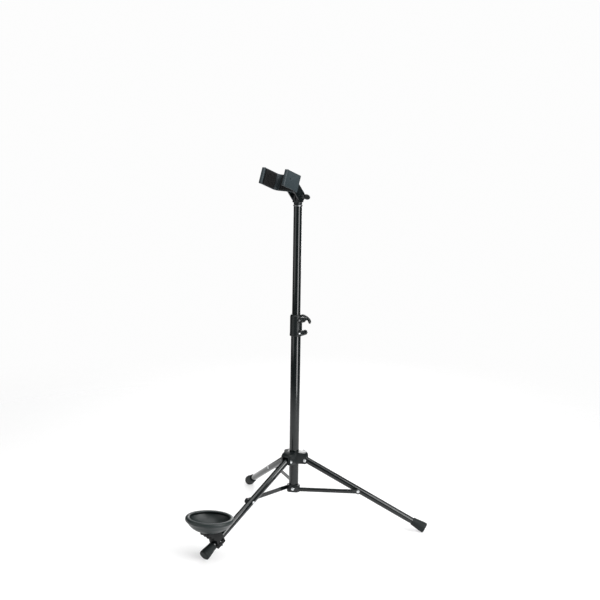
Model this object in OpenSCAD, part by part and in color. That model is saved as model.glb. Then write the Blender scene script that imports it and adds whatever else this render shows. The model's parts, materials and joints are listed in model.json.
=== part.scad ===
// Floor stand for a long, leaning woodwind instrument: a folding tripod, a telescopic mast,
// a round cup clamped low on one leg and a tilting, padded U-shaped cradle on top.
// Millimetres, +Z up. The floor is z = 0 and the origin is below the middle of the footprint.
// The cup's leg points along -Y.

/* [Node] */
// Sub-part to draw, or "all"

/* [Mast] */
// Outer diameter of the lower tube
lower_od = 28; // [25:0.5:28.5]
// Outer diameter of the upper tube
upper_od = 24; // [20:0.5:24.5]
// Wall of every steel tube
tube_wall = 1.5; // [1:0.25:2]
// Height of the upper tube's top end above the floor
upper_top_z = 951.5; // [800:0.5:1050]
// Length of the upper tube
upper_length = 530; // [450:5:560]

/* [Tripod] */
// Slope of the spread legs below horizontal, degrees
leg_slope = 27.8; // [26:0.1:32]
// Outer diameter of a leg
leg_od = 19; // [17:0.5:19.5]
// Leg pivot to the outer end of its foot
leg_reach = 404; // [380:1:430]
// Leg pivot to the brace rivet
brace_at = 180; // [160:1:200]
// Distance of the leg pivots from the mast's axis
crown_pivot_r = 34; // [33:0.5:36]
// Height of the leg pivots above the brace pivots
pivot_drop = 88.5; // [80:0.5:100]
// Width of a brace strap
strap_width = 12.5; // [11:0.5:13]
// Thickness of a brace strap
strap_t = 1.5; // [1:0.1:2]

/* [Collar] */
// Height of the collar's lower edge
collar_z = 570; // [540:1:600]
// Height of the collar
collar_h = 62; // [56:1:70]
// Outer diameter of the collar
collar_od = 35; // [34:0.5:36]

/* [Cup] */
// Distance of the cup's centre from the mast's axis
cup_r = 370; // [360:1:376]
// Height of the cup's underside
cup_z = 77; // [76:0.5:84]
// Outer radius of the cup's rim
cup_rim_r = 67.5; // [62:0.5:70]
// Tilt of the cup towards the mast, degrees
cup_tilt = 3; // [0:0.5:5]

/* [Head and cradle] */
// Height of the tilt pivot above the upper tube's top end
tilt_rise = 24.5; // [24:0.5:30]
// Forward tilt of the arm, degrees from upright
arm_tilt = 42; // [40:1:44]
// Backward lean of the cradle, degrees from upright
cradle_lean = 20.3; // [18:0.1:24]
// Outer width of the cradle
cradle_width = 86; // [78:1:92]
// Length of the cradle's side arms, from the outside of the back
cradle_depth = 72; // [64:1:80]
// Height of the cradle
cradle_height = 47; // [40:1:52]

/* [Hidden] */
$fn = 64;

// Colours
black_paint = [0.06, 0.065, 0.07];
black_plastic = [0.10, 0.11, 0.12];
black_rubber = [0.13, 0.13, 0.13];
zinc = [0.75, 0.76, 0.77];

// Fits and small sizes
run_gap = 0.05;
air = 0.3;
pin_r = 3;
hole_r = pin_r + run_gap;
rivet_head_r = 5;
rivet_head_h = 1.8;
eps = 0.01;
big = 400;

// Tripod: the cup's leg first, then the other two
leg_azimuths = [-90, 30, 150];
foot_r = 15.2;
foot_edge = 4;
foot_flat = 0.8;
foot_length = 42;
leg_end = leg_reach - 12;
crown_z = (leg_reach - foot_edge) * sin(leg_slope) + (foot_r - foot_edge) * cos(leg_slope)
    + foot_edge - foot_flat;
hub_z = crown_z - pivot_drop;
rivet_r = crown_pivot_r + brace_at * cos(leg_slope);
rivet_z = crown_z - brace_at * sin(leg_slope);
brace_length = norm([rivet_r, rivet_z - hub_z]);
brace_rise = atan((rivet_z - hub_z) / rivet_r);

// Footprint, which puts the origin below its middle
side_azimuth = leg_azimuths[1];
foot_reach_r = crown_pivot_r + (leg_reach - foot_edge) * cos(leg_slope);
side_spread = sqrt(1 - pow(cos(leg_slope) * sin(side_azimuth), 2));
foot_back_y = sin(side_azimuth) * foot_reach_r + (foot_r - foot_edge) * side_spread + foot_edge;
rim_edge = 5.5;
rim_z = 41;
cup_front_y = cup_r + (cup_rim_r - rim_edge) * cos(cup_tilt) - (rim_z - rim_edge) * sin(cup_tilt)
    + rim_edge;
mast_y = (cup_front_y - foot_back_y) / 2;

// Crown and hub
lobe_half = 17;
lobe_end = 42;
slot_half = leg_od / 2 + 0.5;
slot_start = 20;
crown_below = 10;
crown_cheek = 15;
crown_top = 24;
boss_end = 25;
hub_face = 15.8;
hub_corner = 19.5;
hub_below = 10.5;
hub_above = 10.5;
strap_side = hub_face + air;
strap_leg = leg_od / 2 + 0.6;
hub_eye_r = 7;
leg_eye_r = 8.2;
rib_margin = 13;
rib_height = 0.8;
tube_bottom = hub_z - hub_below + 1.5;

// Collar
lower_top = collar_z + 29;
bush_or = lower_od / 2 - 0.9;
bush_ir = upper_od / 2 + air;
collar_bore = bush_or + air;
ear_x = 20.5;
ear_r = 8.2;
ear_half = 9;
ear_lower_z = collar_z + 10.5;
ear_upper_z = collar_z + 49;
screw_r = 2.5;

// Head
tilt_z = upper_top_z + tilt_rise;
tongue_half = 10;
tongue_r = 12.5;
cheek_in = tongue_half + air;
cheek_out = 13.5;
arm_half = 15;
web_start = 17;
back_centre = [-42.5, 38.5];
yoke_wall = 4;
pad_t = 5;
lip_r = 5.2;
corner_r = 7;

// ---- Frames -----------------------------------------------------------------------------

// Mast frame: Z is the mast's axis, the floor is z = 0
module on_mast() {
    translate([0, mast_y, 0])
        children();
}

// Leg frame: X runs from the pivot down the leg, Y is sideways and Z is the leg's upper side
module on_leg(i) {
    on_mast()
        rotate([0, 0, leg_azimuths[i]])
            translate([crown_pivot_r, 0, crown_z])
                rotate([0, leg_slope, 0])
                    children();
}

// Brace frame: X runs from the hub pivot to the outer rivet, the strap lies on the -Y side
module on_brace(i) {
    on_mast()
        rotate([0, 0, leg_azimuths[i]])
            translate([0, 0, hub_z])
                rotate([0, -brace_rise, 0])
                    children();
}

// Cup frame: origin below the middle of the bowl, Z is the bowl's axis
module on_cup() {
    on_mast()
        translate([0, -cup_r, cup_z])
            rotate([-cup_tilt, 0, 0])
                children();
}

// Arm frame: Z runs up the tilted arm, +Y is its back
module on_arm() {
    on_mast()
        translate([0, 0, tilt_z])
            rotate([arm_tilt, 0, 0])
                children();
}

// Cradle frame: origin at the middle of the back's outer face, -Y is the open side
module on_cradle() {
    on_mast()
        translate([0, back_centre[0], tilt_z + back_centre[1]])
            rotate([-cradle_lean, 0, 0])
                children();
}

// Turns the Z axis to +Y
module along_y() {
    rotate([-90, 0, 0])
        children();
}

// Turns the Z axis to +X
module along_x() {
    rotate([0, 90, 0])
        children();
}

// ---- Shared shapes ----------------------------------------------------------------------

// Points of an arc about a centre, from angle a to angle b
function arc(centre, r, a, b, steps) =
    [for (k = [0:steps]) centre + r * [cos(a + (b - a) * k / steps), sin(a + (b - a) * k / steps)]];

// Tube along Z
module tube(outer_r, inner_r, z0, z1) {
    translate([0, 0, z0])
        difference() {
            cylinder(r = outer_r, h = z1 - z0);
            translate([0, 0, -eps])
                cylinder(r = inner_r, h = z1 - z0 + 2 * eps);
        }
}

// Domed rivet head: flat side on z = 0, dome towards +Z
module rivet_head(r = rivet_head_r, h = rivet_head_h) {
    rotate_extrude()
        polygon([[0, 0], [r, 0], [r, h * 0.35], [r * 0.86, h * 0.72], [r * 0.6, h * 0.93], [0, h]]);
}

// Wing handle of a thumb screw: stem along +Z from z = 0, swept-back wing across X
module wing_handle(stem_h, span) {
    cylinder(r1 = 5.5, r2 = 3.6, h = stem_h);
    wing_r = span * 0.56;
    half_angle = asin(span / 2 / wing_r);
    translate([0, 0, stem_h + 3 - wing_r])
        rotate([90, 0, 0])
            translate([0, 0, -4])
                linear_extrude(8)
                    polygon(concat(
                        arc([0, 0], wing_r + 3.5, 90 - half_angle, 90 + half_angle, 16),
                        arc([0, 0], wing_r - 5.5, 90 + half_angle * 0.86, 90 - half_angle * 0.86, 16)));
}

// ---- Mast -------------------------------------------------------------------------------

module lower_tube() {
    color(black_paint)
        on_mast()
            tube(lower_od / 2, lower_od / 2 - tube_wall, tube_bottom, lower_top);
}

module brace_hub() {
    color(black_plastic)
        on_mast()
            difference() {
                translate([0, 0, hub_z - hub_below])
                    intersection() {
                        cylinder(r = hub_corner, h = hub_below + hub_above);
                        // Three flat faces, one beside each leg
                        rotate([0, 0, leg_azimuths[0] + 90])
                            cylinder(r = hub_face * 2, h = hub_below + hub_above, $fn = 3);
                    }
                translate([0, 0, tube_bottom])
                    cylinder(r = lower_od / 2, h = big);
                for (a = leg_azimuths)
                    translate([0, 0, hub_z])
                        rotate([0, 0, a])
                            along_y()
                                translate([0, 0, -hub_face - 1])
                                    cylinder(r = pin_r, h = hub_face - lower_od / 2 + 2.5);
            }
}

module hub_pin(i) {
    strap_out = strap_side + strap_t + 0.2;
    color(zinc)
        on_mast()
            translate([0, 0, hub_z])
                rotate([0, 0, leg_azimuths[i]])
                    rotate([90, 0, 0])
                        difference() {
                            union() {
                                translate([0, 0, lower_od / 2 + 0.3])
                                    cylinder(r = pin_r, h = strap_out - lower_od / 2);
                                translate([0, 0, strap_out])
                                    rivet_head(5.2, 1.7);
                            }
                            // Hollow end of a tubular rivet
                            translate([0, 0, strap_out + 0.4])
                                cylinder(r = 1.8, h = 5);
                        }
}

module height_collar() {
    color(black_plastic)
        on_mast()
            difference() {
                union() {
                    translate([0, 0, collar_z])
                        rotate_extrude()
                            polygon([
                                [0, 0], [collar_od / 2 - 0.4, 0], [collar_od / 2 + 0.6, 1.2],
                                [collar_od / 2 + 0.6, 5], [collar_od / 2, 8], [collar_od / 2, collar_h - 6],
                                [collar_od / 2 - 0.6, collar_h - 2], [collar_od / 2 - 2.4, collar_h],
                                [0, collar_h]]);
                    for (z = [ear_lower_z, ear_upper_z])
                        translate([0, 0, z]) {
                            translate([ear_x, -ear_half, 0])
                                along_y()
                                    cylinder(r = ear_r, h = 2 * ear_half);
                            translate([0, -ear_half, -ear_r])
                                cube([ear_x, 2 * ear_half, 2 * ear_r]);
                        }
                }
                translate([0, 0, collar_z - 1])
                    cylinder(r = lower_od / 2, h = lower_top - collar_z + 1);
                translate([0, 0, lower_top - eps])
                    cylinder(r = collar_bore, h = big);
                // Clamp slit between the two ears
                translate([lower_od / 2 - 2, -1.1, collar_z - 1])
                    cube([30, 2.2, collar_h + 2]);
                for (z = [ear_lower_z, ear_upper_z])
                    translate([ear_x, -20, z])
                        along_y()
                            cylinder(r = screw_r + run_gap, h = 40);
            }
}

module collar_clamp_screw() {
    color(zinc)
        on_mast()
            translate([ear_x, 0, ear_lower_z]) {
                translate([0, -ear_half - 0.2, 0])
                    along_y()
                        cylinder(r = screw_r, h = 2 * ear_half + 9.4);
                translate([0, -ear_half - 0.2, 0])
                    rotate([90, 0, 0])
                        rivet_head(3.6, 2.6);
            }
}

module collar_clamp_nut() {
    color(black_plastic)
        on_mast()
            translate([ear_x, ear_half + 0.3, ear_lower_z])
                along_y()
                    difference() {
                        union() {
                            cylinder(r = 5.4, h = 4);
                            translate([0, 0, 3.4])
                                difference() {
                                    cylinder(r = 7.8, h = 6);
                                    for (k = [0:7])
                                        rotate([0, 0, 45 * k + 22.5])
                                            translate([8.8, 0, -1])
                                                cylinder(r = 1.9, h = 10);
                                }
                        }
                        translate([0, 0, -1])
                            cylinder(r = screw_r + run_gap, h = 12);
                    }
}

module collar_wing_screw() {
    color(black_plastic)
        on_mast()
            translate([ear_x, 0, ear_upper_z]) {
                translate([0, -ear_half - 1, 0])
                    along_y()
                        cylinder(r = screw_r, h = 2 * ear_half + 4);
                translate([0, -ear_half - 1, 0])
                    rotate([90, 0, 0])
                        rivet_head(3.4, 2.6);
                translate([0, ear_half + air, 0])
                    along_y()
                        rotate([0, 0, 33])
                            wing_handle(17, 38);
            }
}

module guide_bush() {
    color(black_plastic)
        on_mast() {
            tube(bush_or, bush_ir, lower_top + air, collar_z + collar_h - 2.5);
            tube(collar_od / 2 - 2.6, bush_ir, collar_z + collar_h + air, collar_z + collar_h + 1.8);
            tube(bush_or, bush_ir, collar_z + collar_h - 3, collar_z + collar_h + 1);
        }
}

module upper_tube() {
    color(black_paint)
        on_mast()
            tube(upper_od / 2, upper_od / 2 - tube_wall, upper_top_z - upper_length, upper_top_z);
}

module tube_end_plug() {
    bottom = upper_top_z - upper_length;
    color(black_plastic)
        on_mast() {
            translate([0, 0, bottom - 3])
                cylinder(r = lower_od / 2 - tube_wall - 0.3, h = 3);
            translate([0, 0, bottom])
                cylinder(r = upper_od / 2 - tube_wall, h = 12);
        }
}

module tube_top_ring() {
    color(zinc)
        on_mast()
            tube(upper_od / 2 + 1.4, upper_od / 2, upper_top_z - 3.5, upper_top_z);
}

module head_fork() {
    color(black_plastic)
        on_mast()
            difference() {
                union() {
                    translate([0, 0, upper_top_z - 22])
                        cylinder(r = upper_od / 2 - tube_wall, h = 23);
                    translate([0, 0, upper_top_z])
                        cylinder(r1 = upper_od / 2, r2 = tongue_r - 0.1, h = 8.5);
                    translate([-tongue_half, -tongue_r, upper_top_z + 7])
                        cube([2 * tongue_half, 2 * tongue_r, tilt_rise - 7]);
                    translate([-tongue_half, 0, tilt_z])
                        along_x()
                            cylinder(r = tongue_r, h = 2 * tongue_half);
                }
                translate([-20, 0, tilt_z])
                    along_x()
                        cylinder(r = hole_r, h = 40);
                // Slit that lets the clamp bolt grip
                translate([-1, -20, upper_top_z + 12])
                    cube([2, 40, 40]);
            }
}

// ---- Tripod -----------------------------------------------------------------------------

module crown() {
    color(black_plastic)
        on_mast()
            translate([0, 0, crown_z])
                difference() {
                    intersection() {
                        union() {
                            for (a = leg_azimuths)
                                rotate([0, 0, a])
                                    translate([0, -lobe_half, -crown_below - 1])
                                        cube([big, 2 * lobe_half, crown_below + crown_top + 2]);
                            // Boss of the clamp screw
                            translate([0, 0, 3])
                                along_y()
                                    cylinder(r = 7, h = boss_end);
                        }
                        // Dome over upright cheeks
                        rotate_extrude()
                            polygon(concat(
                                [[0, -crown_below], [lobe_end - 1.5, -crown_below],
                                 [lobe_end, -crown_below + 1.5]],
                                arc([lobe_end - 12, crown_cheek - 5], 12, 0, 70, 8),
                                [[lower_od / 2 + 2.8, crown_top], [0, crown_top]]));
                    }
                    translate([0, 0, -big / 2])
                        cylinder(r = lower_od / 2 + air, h = big);
                    for (a = leg_azimuths)
                        rotate([0, 0, a]) {
                            // Slot that the leg folds in
                            translate([slot_start, -slot_half, -big])
                                cube([big, 2 * slot_half, big + 12.8]);
                            translate([crown_pivot_r, -30, 0])
                                along_y()
                                    cylinder(r = hole_r, h = 60);
                        }
                    // Threaded hole of the clamp screw, between the two side legs
                    translate([0, 0, 3])
                        along_y()
                            cylinder(r = screw_r + run_gap, h = 60);
                }
}

module leg_pin(i) {
    color(zinc)
        on_mast()
            rotate([0, 0, leg_azimuths[i]])
                translate([crown_pivot_r, 0, crown_z]) {
                    translate([0, -lobe_half - 0.2, 0])
                        along_y()
                            cylinder(r = pin_r, h = 2 * lobe_half + 0.4);
                    translate([0, lobe_half + 0.1, 0])
                        along_y()
                            rivet_head();
                    translate([0, -lobe_half - 0.1, 0])
                        rotate([90, 0, 0])
                            rivet_head();
                }
}

module crown_wing_screw() {
    color(black_plastic)
        on_mast()
            translate([0, lower_od / 2 + 0.35, crown_z + 3])
                along_y() {
                    cylinder(r = screw_r, h = 28);
                    translate([0, 0, 20])
                        rotate([0, 0, 90])
                            wing_handle(14, 26);
                }
}

module leg(i) {
    color(black_paint)
        on_leg(i)
            difference() {
                along_x()
                    tube(leg_od / 2, leg_od / 2 - tube_wall, -7.5, leg_end);
                for (x = [0, brace_at])
                    translate([x, -20, 0])
                        along_y()
                            cylinder(r = hole_r, h = 40);
            }
}

module foot(i) {
    start = leg_reach - foot_length;
    color(black_rubber)
        difference() {
            on_leg(i)
                along_x()
                    difference() {
                        rotate_extrude()
                            polygon(concat(
                                [[0, start], [leg_od / 2 + 1.8, start], [leg_od / 2 + 2.7, start + 1],
                                 [leg_od / 2 + 2.7, start + 4.5], [leg_od / 2 + 2, start + 5.5],
                                 [leg_od / 2 + 2.8, start + 6.5], [foot_r, leg_reach - foot_edge - 5]],
                                arc([foot_r - foot_edge, leg_reach - foot_edge], foot_edge, 0, 90, 8),
                                [[0, leg_reach]]));
                        translate([0, 0, start - 1])
                            cylinder(r = leg_od / 2, h = leg_end - start + 1);
                    }
            // Flat that stands on the floor
            translate([-big * 2, -big * 2, -big])
                cube([big * 4, big * 4, big]);
        }
}

module leg_rivet(i) {
    color(zinc)
        on_leg(i)
            translate([brace_at, 0, 0]) {
                translate([0, -leg_od / 2 + 0.3, 0])
                    along_y()
                        cylinder(r = pin_r, h = leg_od);
                translate([0, leg_od / 2, 0])
                    along_y()
                        rivet_head(4.6, 1.8);
            }
}

// Straight strap on the clockwise side of its leg, with round eyes and a raised rib
module brace(i) {
    color(black_paint)
        on_brace(i)
            difference() {
                union() {
                    translate([0, -strap_side - strap_t, 0])
                        along_y()
                            linear_extrude(strap_t) {
                                circle(r = hub_eye_r);
                                translate([brace_length, 0])
                                    circle(r = leg_eye_r);
                                translate([0, -strap_width / 2])
                                    square([brace_length, strap_width]);
                            }
                    translate([rib_margin, -strap_side - strap_t - rib_height, -2.4])
                        cube([brace_length - 2 * rib_margin, rib_height + 0.4, 4.8]);
                }
                for (x = [0, brace_length])
                    translate([x, -30, 0])
                        along_y()
                            cylinder(r = hole_r, h = 60);
            }
}

// Rivet of the outer pivot. It stops short of the leg, so the pivot stays open
module brace_rivet(i) {
    color(zinc)
        on_brace(i)
            translate([brace_length, -strap_leg, 0])
                rotate([90, 0, 0]) {
                    cylinder(r = pin_r, h = strap_side + strap_t - strap_leg + 0.4);
                    translate([0, 0, strap_side + strap_t - strap_leg + 0.1])
                        rivet_head();
                }
}

// Spacer that keeps the strap's eye clear of the leg
module brace_spacer(i) {
    color(black_plastic)
        on_brace(i)
            translate([brace_length, -strap_leg, 0])
                rotate([90, 0, 0])
                    tube(5.2, hole_r, 0, strap_side - strap_leg - 0.05);
}

// ---- Cup --------------------------------------------------------------------------------

block_x0 = 327;
block_x1 = 357.5;
block_half = 15;
block_below = 13;
clamp_y = 12.3;
clamp_x = [block_x0 + 6, block_x1 - 6];

// Stepped side view of the clamp block: [distance from the mast, height]
block_side = [
    [block_x0 * cos(leg_slope) + crown_pivot_r - 3, 58], [311, 73], [322, cup_z - 0.5],
    [391, cup_z - 0.5], [389, cup_z - 8], [378, cup_z - 9], [376, cup_z - 17], [366, cup_z - 18],
    [364, cup_z - 26], [356, cup_z - 28], [block_x1 * cos(leg_slope) + crown_pivot_r, 34]];

// Half space above the underside of the cup, to cut off what would enter it
module above_cup() {
    on_cup()
        translate([-big / 2, -big / 2, -0.2])
            cube([big, big, big]);
}

module clamp_holes() {
    on_leg(0) {
        along_x()
            translate([0, 0, block_x0 - 20])
                cylinder(r = leg_od / 2 + air, h = 90);
        for (y = [-clamp_y, clamp_y])
            translate([(clamp_x[0] + clamp_x[1]) / 2, y, -20])
                cylinder(r = 2.05, h = 28);
    }
}

// Clamp block: a stepped saddle that stands on the leg and carries the cup
module cup_bracket() {
    color(black_plastic)
        difference() {
            intersection() {
                on_mast()
                    rotate([0, 0, leg_azimuths[0]])
                        rotate([90, 0, 0])
                            translate([0, 0, -block_half])
                                linear_extrude(2 * block_half)
                                    polygon(block_side);
                on_leg(0)
                    translate([block_x0, -block_half, 0.3])
                        cube([block_x1 - block_x0 + 60, 2 * block_half, 80]);
            }
            clamp_holes();
            above_cup();
            on_cup()
                translate([0, 0, -40])
                    cylinder(r = 2.55, h = 60);
        }
}

// Lower half of the clamp
module bracket_strap() {
    color(black_plastic)
        difference() {
            on_leg(0)
                intersection() {
                    translate([block_x0, -block_half, -block_below])
                        cube([block_x1 - block_x0, 2 * block_half, block_below - 0.3]);
                    translate([block_x0 - 1, 0, 0])
                        along_x()
                            cylinder(r = 18, h = 60);
                }
            clamp_holes();
        }
}

module bracket_screw(side) {
    color(zinc)
        on_leg(0)
            translate([(clamp_x[0] + clamp_x[1]) / 2, side * clamp_y, 0]) {
                translate([0, 0, -block_below - 0.2])
                    cylinder(r = 2, h = 19);
                translate([0, 0, -block_below - 0.1])
                    mirror([0, 0, 1])
                        rivet_head(3.4, 2.2);
            }
}

// Bowl with a thick rounded rim
module cup() {
    bowl = [16, 53];
    bowl_r = 53;
    wall = 3;
    color(black_plastic)
        on_cup()
            difference() {
                rotate_extrude($fn = 96)
                    polygon(concat(
                        [[0, 0]],
                        arc(bowl, bowl_r, -90, -36, 12),
                        arc([cup_rim_r - 4, 33], 4, -75, 0, 4),
                        arc([cup_rim_r - rim_edge, rim_z - rim_edge], rim_edge, 0, 90, 6),
                        arc([cup_rim_r - 8.5, rim_z - 3.5], 3.5, 90, 165, 4),
                        arc(bowl, bowl_r - wall, -26, -90, 12),
                        [[0, wall]]));
                translate([0, 0, -1])
                    cylinder(r = 2.55, h = 10);
            }
}

module cup_screw() {
    color(zinc)
        on_cup() {
            translate([0, 0, -9])
                cylinder(r = 2.5, h = 12.2);
            translate([0, 0, 3.05])
                rivet_head(4.6, 2.6);
        }
}

module cup_pad() {
    color(black_rubber)
        on_cup()
            translate([0, 0, 3.1])
                difference() {
                    cylinder(r1 = 18, r2 = 17, h = 4);
                    translate([0, 0, -1])
                        cylinder(r = 5.5, h = 8);
                }
}

// ---- Head and cradle --------------------------------------------------------------------

// Outside of the arm's channel, from its pivot to well past the cradle
module arm_outline(x0, x1, start) {
    translate([x0, 0, 0])
        along_x()
            linear_extrude(x1 - x0)
                translate([-90, -arm_half])
                    square([90 - start, 2 * arm_half]);
}

// Channel with two cheeks round the head, a set-back web and an end plate for the cradle
module tilt_arm() {
    color(black_paint)
        difference() {
            union() {
                on_arm() {
                    for (s = [-1, 1]) {
                        inner = s > 0 ? cheek_in : -cheek_out;
                        arm_outline(inner, inner + cheek_out - cheek_in, 0);
                        translate([inner, 0, 0])
                            along_x()
                                cylinder(r = arm_half, h = cheek_out - cheek_in);
                    }
                    translate([-cheek_out, -6, web_start])
                        cube([2 * cheek_out, 3, 80]);
                }
                intersection() {
                    on_arm()
                        arm_outline(-cheek_out, cheek_out, web_start);
                    on_cradle()
                        translate([-big / 2, 0, -big / 2])
                            cube([big, 2.5, big]);
                }
            }
            on_arm()
                translate([-20, 0, 0])
                    along_x()
                        cylinder(r = hole_r, h = 40);
            on_cradle() {
                // Cut where the cradle's back meets it
                translate([-big / 2, -big, -big / 2])
                    cube([big, big + 0.05, big]);
                translate([-big / 2, -big / 2, cradle_height / 2 - 1])
                    cube([big, big, big]);
                for (s = [-1, 1])
                    translate([s * 7, -20, 8])
                        along_y()
                            cylinder(r = 2.05, h = 40);
            }
        }
}

module tilt_bolt() {
    color(black_plastic)
        on_mast()
            translate([0, 0, tilt_z]) {
                translate([-cheek_out - 3, 0, 0])
                    along_x()
                        cylinder(r = pin_r, h = 2 * cheek_out + 10);
                translate([-cheek_out - air, 0, 0])
                    rotate([0, -90, 0])
                        rivet_head(6, 4);
                // Stem and flat oval thumb piece
                translate([cheek_out + air, 0, 0])
                    along_x()
                        cylinder(r1 = 6, r2 = 4.5, h = 9);
                translate([cheek_out + 18, 0, 0])
                    rotate([12, 0, 0])
                        along_y()
                            translate([0, 0, -2.6])
                                linear_extrude(5.2)
                                    polygon([for (k = [0:47]) [12 * cos(7.5 * k), 8 * sin(7.5 * k)]]);
            }
}

// Yoke outline in plan, with rounded back corners
module yoke_plan(grow) {
    half = cradle_width / 2 - grow;
    corner = 12 - grow;
    polygon(concat(
        [[half, -cradle_depth]],
        arc([half - corner, -grow - corner], corner, 0, 90, 8),
        arc([-half + corner, -grow - corner], corner, 90, 180, 8),
        [[-half, -cradle_depth]]));
}

// Side outline turned so that its X is the cradle's height, upside down, and its Y is the depth
module yoke_side() {
    half = cradle_height / 2;
    front = -cradle_depth - lip_r;
    polygon(concat(
        [[half, 1], [-half, 1]],
        arc([-half + corner_r, front + corner_r], corner_r, 180, 270, 8),
        arc([half - corner_r, front + corner_r], corner_r, 270, 360, 8)));
}

module cradle() {
    color(black_plastic)
        on_cradle()
            difference() {
                intersection() {
                    union() {
                        translate([0, 0, -cradle_height / 2])
                            linear_extrude(cradle_height)
                                difference() {
                                    yoke_plan(0);
                                    translate([0, -eps])
                                        yoke_plan(yoke_wall);
                                }
                        // Rolled front lips
                        for (s = [-1, 1])
                            translate([s * (cradle_width / 2 - 2), -cradle_depth, -cradle_height / 2])
                                cylinder(r = lip_r, h = cradle_height);
                    }
                    // Side view with rounded front corners
                    translate([-big / 2, 0, 0])
                        along_x()
                            linear_extrude(big)
                                yoke_side();
                }
                // Pin hole in each arm
                translate([-big / 2, -49, 2.3])
                    along_x()
                        cylinder(r = 1.7, h = big);
                for (s = [-1, 1])
                    translate([s * 7, -20, 8])
                        along_y()
                            cylinder(r = 2.05, h = 40);
            }
}

module cradle_screw(side) {
    color(zinc)
        on_cradle()
            translate([side * 7, 0, 8]) {
                translate([0, -yoke_wall - 0.2, 0])
                    along_y()
                        cylinder(r = 2, h = 7.2);
                translate([0, -yoke_wall - 0.05, 0])
                    rotate([90, 0, 0])
                        rivet_head(3.6, 1.8);
                translate([0, 2.6, 0])
                    along_y()
                        cylinder(r = 3.4, h = 3, $fn = 6);
            }
}

// Ribbed side pad: flat against the arm, ribs towards the instrument
module side_pad(side) {
    length = cradle_depth - 21;
    ribs = 8;
    pitch = length / ribs;
    face = cradle_width / 2 - yoke_wall - 0.1;
    color(black_rubber)
        on_cradle()
            translate([0, 0, -cradle_height / 2 + 1.5])
                linear_extrude(cradle_height - 3)
                    for (k = [0:ribs - 1])
                        translate([side * face, -15 - pitch * (k + 0.5)]) {
                            translate([side > 0 ? -3.2 : 0, -pitch / 2 - eps])
                                square([3.2, pitch + 2 * eps]);
                            translate([-side * 3.2, 0])
                                circle(r = pitch / 2 - 0.6);
                        }
}

module cradle_pad_back() {
    half = cradle_width / 2 - 17;
    ribs = 7;
    pitch = 2 * half / ribs;
    color(black_rubber)
        on_cradle()
            translate([0, 0, -cradle_height / 2 + 1.5])
                linear_extrude(cradle_height - 3)
                    difference() {
                        for (k = [0:ribs - 1])
                            translate([-half + pitch * (k + 0.5), -yoke_wall - 0.1]) {
                                translate([-pitch / 2 - eps, -4.6])
                                    square([pitch + 2 * eps, 4.6]);
                                translate([0, -4.6])
                                    circle(r = pitch / 2 - 0.6);
                            }
                        // Room for the two screw heads
                        for (s = [-1, 1])
                            translate([s * 7 - 4, -yoke_wall - 2.1])
                                square([8, 3]);
                    }
}

lower_tube();
brace_hub();
height_collar();
collar_clamp_screw();
collar_clamp_nut();
collar_wing_screw();
guide_bush();
upper_tube();
tube_top_ring();
head_fork();
tube_end_plug();
crown();
crown_wing_screw();
for (i = [0:2]) {
    hub_pin(i);
    leg_pin(i);
    leg(i);
    foot(i);
    leg_rivet(i);
    brace(i);
    brace_rivet(i);
    brace_spacer(i);
}
cup_bracket();
bracket_strap();
bracket_screw(-1);  // bracket_screw_1
bracket_screw(1);  // bracket_screw_2
cup();
cup_screw();
cup_pad();
tilt_arm();
tilt_bolt();
cradle();
cradle_screw(-1);  // cradle_screw_1
cradle_screw(1);  // cradle_screw_2
side_pad(-1);  // cradle_pad_left
side_pad(1);  // cradle_pad_right
cradle_pad_back();
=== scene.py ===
# %% [markdown]
# # A floor stand for a long woodwind, finished in Blender
# The stand is a folding tripod with a telescopic mast. A cup low on one leg takes the
# bottom of the instrument, and a padded cradle on top takes its body.
# The measured model is loaded first as a fixed frame. Every piece made here takes its
# place from that frame, so nothing has to be fitted by eye.

import json
import math

import bmesh
import bpy
import numpy as np
from mathutils import Matrix, Quaternion, Vector


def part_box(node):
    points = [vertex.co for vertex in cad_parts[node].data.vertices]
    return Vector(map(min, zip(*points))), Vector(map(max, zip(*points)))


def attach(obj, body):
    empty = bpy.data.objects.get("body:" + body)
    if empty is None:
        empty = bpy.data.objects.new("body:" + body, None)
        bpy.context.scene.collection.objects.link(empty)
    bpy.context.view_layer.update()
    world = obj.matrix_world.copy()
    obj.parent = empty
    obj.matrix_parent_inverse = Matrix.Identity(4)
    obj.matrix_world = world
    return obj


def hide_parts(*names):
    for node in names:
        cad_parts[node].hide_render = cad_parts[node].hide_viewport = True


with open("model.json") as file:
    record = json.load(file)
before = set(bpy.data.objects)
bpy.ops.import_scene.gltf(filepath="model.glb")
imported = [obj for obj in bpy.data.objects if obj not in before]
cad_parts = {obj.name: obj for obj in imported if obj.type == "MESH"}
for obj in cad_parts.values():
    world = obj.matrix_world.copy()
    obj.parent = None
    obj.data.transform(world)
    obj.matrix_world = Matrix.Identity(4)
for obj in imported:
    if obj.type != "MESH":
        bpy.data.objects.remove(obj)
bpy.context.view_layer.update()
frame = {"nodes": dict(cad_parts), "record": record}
record = frame["record"]
body_of_node = {n: b for b, ns in record["behaviour"]["bodies"].items() for n in ns}
slot_of_node = {s["node"]: s["material_slot"] for s in record["subparts"]}
joints = {j["name"]: j for j in record["behaviour"]["joints"]}
MM = 0.001

# %% [markdown]
# ## Where things are
# The moving parts turn or slide about axes that the record already gives, so those axes
# also tell where each leg, strap and head lies. Three kinds of frame are enough: one for
# each leg, one for each strap and, later, one for the cradle. A frame here is a 4x4 matrix
# whose columns are its three axes and its origin.

# %% Frames of the moving parts
UP = np.array([0.0, 0.0, 1.0])


def axes(origin, x, y, z):
    """A 4x4 frame: the columns are the x, y and z axes and the origin."""
    out = np.eye(4)
    out[:3, 0], out[:3, 1], out[:3, 2], out[:3, 3] = x, y, z, origin
    return out


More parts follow.
